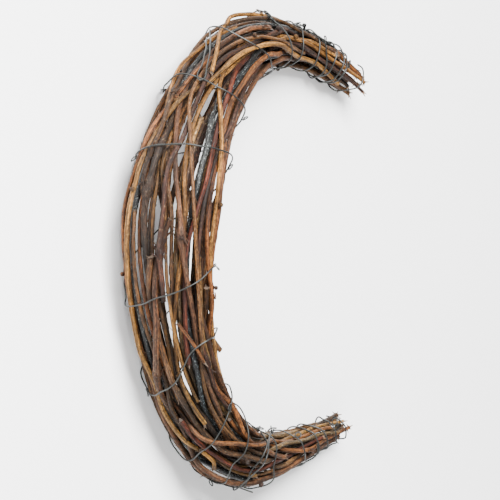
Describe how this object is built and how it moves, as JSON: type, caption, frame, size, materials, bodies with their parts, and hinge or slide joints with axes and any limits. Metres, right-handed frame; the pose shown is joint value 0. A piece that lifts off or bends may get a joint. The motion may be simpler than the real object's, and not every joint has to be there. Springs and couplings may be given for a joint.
{
  "type": "crescent vine wreath",
  "caption": "Crescent bundle of bent, crossing vine canes, thick in the middle and tapering to two cut-off horns, wound with thin dark wire.",
  "frame": {"origin": "centre of the underside of the bounding box, on the floor that the wreath lies on", "axes": "+Z is the front of the wreath, which faces up as it lies on its back; +Y runs through the upper horn, along the longest extent; +X is the open side of the crescent"},
  "size_m": [0.3602, 0.3976, 0.0874],
  "materials": {
    "bark_tan": "dry bark, matt",
    "bark_brown": "dry bark, matt",
    "bark_rosy": "dry bark, matt",
    "bark_red": "dry bark, matt",
    "bark_orange": "dry bark, matt",
    "bark_plum": "dry bark, matt",
    "bark_grey": "dry bark, matt",
    "bark_dark": "dry bark, matt",
    "bark_pale": "dry bark, matt",
    "bark_umber": "dry bark, matt",
    "wire_dark": "dull annealed wire"
  },
  "bodies": {
    "root": {"cane_01_tan": "bark_tan", "cane_02_tan": "bark_tan", "cane_03_tan": "bark_tan", "cane_04_tan": "bark_tan", "cane_05_brown": "bark_brown", "cane_06_rosy": "bark_rosy", "cane_07_red": "bark_red", "cane_08_brown": "bark_brown", "cane_09_tan": "bark_tan", "cane_10_orange": "bark_orange", "cane_11_rosy": "bark_rosy", "cane_12_plum": "bark_plum", "cane_13_plum": "bark_plum", "cane_14_grey": "bark_grey", "cane_15_grey": "bark_grey", "cane_16_orange": "bark_orange", "cane_17_dark": "bark_dark", "cane_18_orange": "bark_orange", "cane_19_pale": "bark_pale", "cane_20_orange": "bark_orange", "cane_21_rosy": "bark_rosy", "cane_22_brown": "bark_brown", "cane_23_orange": "bark_orange", "cane_24_pale": "bark_pale", "cane_25_brown": "bark_brown", "cane_26_umber": "bark_umber", "cane_27_tan": "bark_tan", "cane_28_tan": "bark_tan", "cane_29_orange": "bark_orange", "cane_30_red": "bark_red", "cane_31_tan": "bark_tan", "cane_32_umber": "bark_umber", "cane_33_umber": "bark_umber", "cane_34_rosy": "bark_rosy", "cane_35_pale": "bark_pale", "cane_36_brown": "bark_brown", "cane_37_plum": "bark_plum", "cane_38_tan": "bark_tan", "cane_39_tan": "bark_tan", "cane_40_dark": "bark_dark", "cane_41_tan": "bark_tan", "cane_42_umber": "bark_umber", "cane_43_umber": "bark_umber", "cane_44_rosy": "bark_rosy", "cane_45_plum": "bark_plum", "cane_46_umber": "bark_umber", "cane_47_grey": "bark_grey", "cane_48_umber": "bark_umber", "cane_49_brown": "bark_brown", "cane_50_dark": "bark_dark", "cane_51_grey": "bark_grey", "cane_52_plum": "bark_plum", "cane_53_brown": "bark_brown", "cane_54_brown": "bark_brown", "cane_55_dark": "bark_dark", "wire_loose_strand": "wire_dark", "wire_lower_turns": "wire_dark", "wire_upper_turns": "wire_dark", "wire_winding": "wire_dark"}
  },
  "joints": []
}
